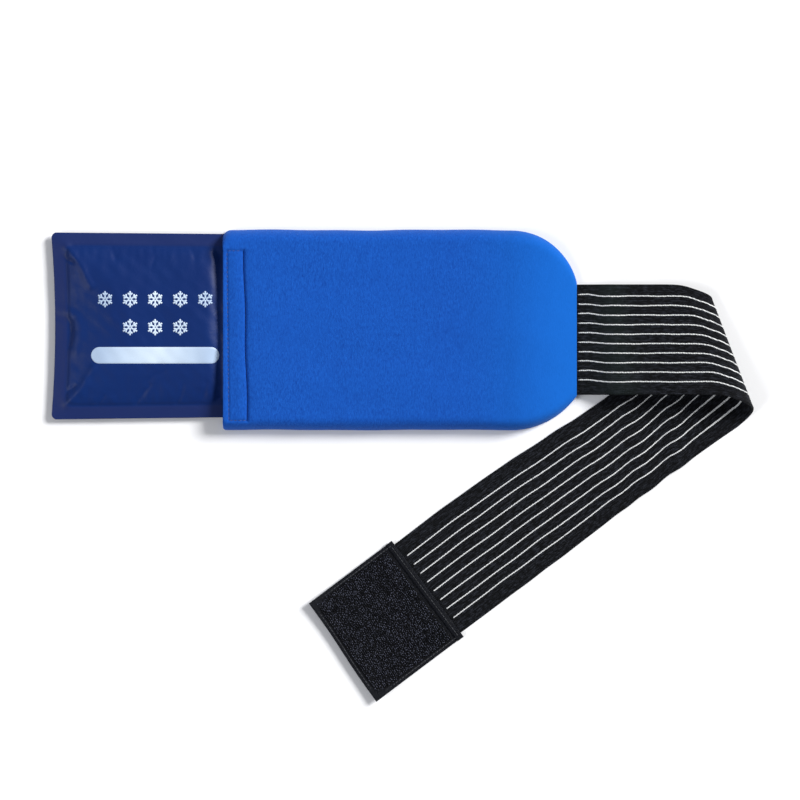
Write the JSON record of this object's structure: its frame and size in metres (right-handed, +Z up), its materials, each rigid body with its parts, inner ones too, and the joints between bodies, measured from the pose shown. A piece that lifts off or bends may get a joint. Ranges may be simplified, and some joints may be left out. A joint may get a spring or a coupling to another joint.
{
  "type": "cold compression wrap",
  "caption": "Soft cold therapy wrap: a plush sleeve holding a gel pack, with an elastic strap that folds back to a hook patch.",
  "frame": {"origin": "centre of the flat back face of the sleeve, on the surface it lies on", "axes": "+Z up out of the front of the sleeve, +X from the open mouth towards the strap, +Y across the sleeve"},
  "size_m": [0.4783, 0.3196, 0.0233],
  "materials": {
    "plush_blue": "royal blue brushed plush with a short nap",
    "foam_lining": "grey foam-backed lining",
    "closure_tape": "dark blue hook and loop tape",
    "sewing_thread": "polyester sewing thread",
    "elastic_black": "black knitted elastic",
    "yarn_white": "white knitted-in yarn",
    "film_navy": "navy nylon film, soft gloss with fine puckers",
    "gel": "blue cooling gel",
    "print_pale_blue": "pale blue printed ink",
    "hook_tape_black": "black hook tape with a dense field of hooks"
  },
  "bodies": {
    "sleeve": {"back_plush": "plush_blue", "back_lining": "foam_lining", "front_plush": "plush_blue", "front_lining": "foam_lining", "mouth_hook_strip": "closure_tape", "mouth_loop_strip": "closure_tape", "mouth_stitching": "sewing_thread", "strap_anchor": "elastic_black", "anchor_stitching": "sewing_thread"},
    "gel_pack": {"pack_back_film": "film_navy", "pack_front_film": "film_navy", "gel_filling": "gel", "pack_print": "print_pale_blue"},
    "strap_near": {"strap_near_band": "elastic_black", "near_face_yarns": "yarn_white", "near_reverse_yarns": "yarn_white", "fold_upper_quarter": "elastic_black"},
    "fold_mid": {"fold_lower_quarter": "elastic_black"},
    "strap_far": {"strap_far_band": "elastic_black", "far_reverse_yarns": "yarn_white"},
    "strap_tip": {"strap_end_band": "elastic_black", "patch_backing": "hook_tape_black", "hook_field": "hook_tape_black", "patch_hem": "hook_tape_black", "patch_stitching": "sewing_thread"}
  },
  "joints": [
    {"name": "pack_slide", "type": "slide", "parent": "sleeve", "child": "gel_pack", "axis": [-1, 0, 0], "range_m": [-0.115, 0.085]},
    {"name": "strap_lift", "type": "hinge", "parent": "sleeve", "child": "strap_near", "pos_m": [0.12045, -0.0066, 0.0032], "axis": [0, -1, 0], "range_deg": [0, 75]},
    {"name": "strap_unfold_upper", "type": "hinge", "parent": "strap_near", "child": "fold_mid", "pos_m": [0.2155, -0.0066, 0.00815], "axis": [0.3227, -0.9424, 0.088], "range_deg": [0, 90], "deforming": ["fold_upper_quarter"]},
    {"name": "strap_unfold", "type": "hinge", "parent": "fold_mid", "child": "strap_far", "pos_m": [0.2155, -0.0066, 0.00815], "axis": [0.3227, -0.9424, 0.088], "range_deg": [0, 90], "deforming": ["fold_lower_quarter"]},
    {"name": "patch_peel", "type": "hinge", "parent": "strap_far", "child": "strap_tip", "pos_m": [0.0186, -0.176, 0.0013], "axis": [-0.6004, 0.7997, 0], "range_deg": [0, 90]}
  ]
}
